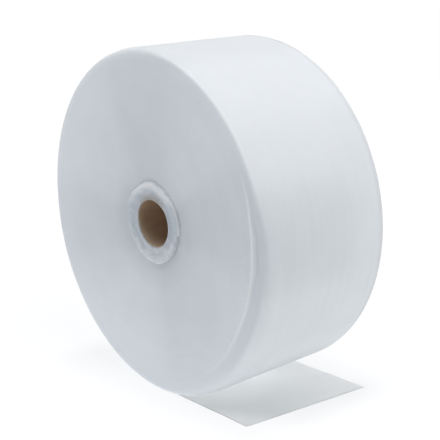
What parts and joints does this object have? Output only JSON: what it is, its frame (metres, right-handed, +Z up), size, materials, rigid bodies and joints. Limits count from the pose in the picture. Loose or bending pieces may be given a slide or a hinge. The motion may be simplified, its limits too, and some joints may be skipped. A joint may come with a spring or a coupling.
{
  "type": "foam wrap roll",
  "caption": "Roll of thin white polyethylene foam wrap on an open cardboard core, standing on its rim with the free end of the web laid out on the floor.",
  "frame": {"origin": "on the core's axis, halfway along the core", "axes": "+Y along the core's axis, away from the end with the slipped outer turns; +X the way the free end of the web lies; +Z up"},
  "size_m": [0.55, 0.242, 0.5474],
  "materials": {
    "foam": "soft satin, slightly translucent",
    "kraft_board": "unbleached and matte"
  },
  "bodies": {
    "root": {"foam_wrap": "foam", "core_tube": "kraft_board"}
  },
  "joints": []
}
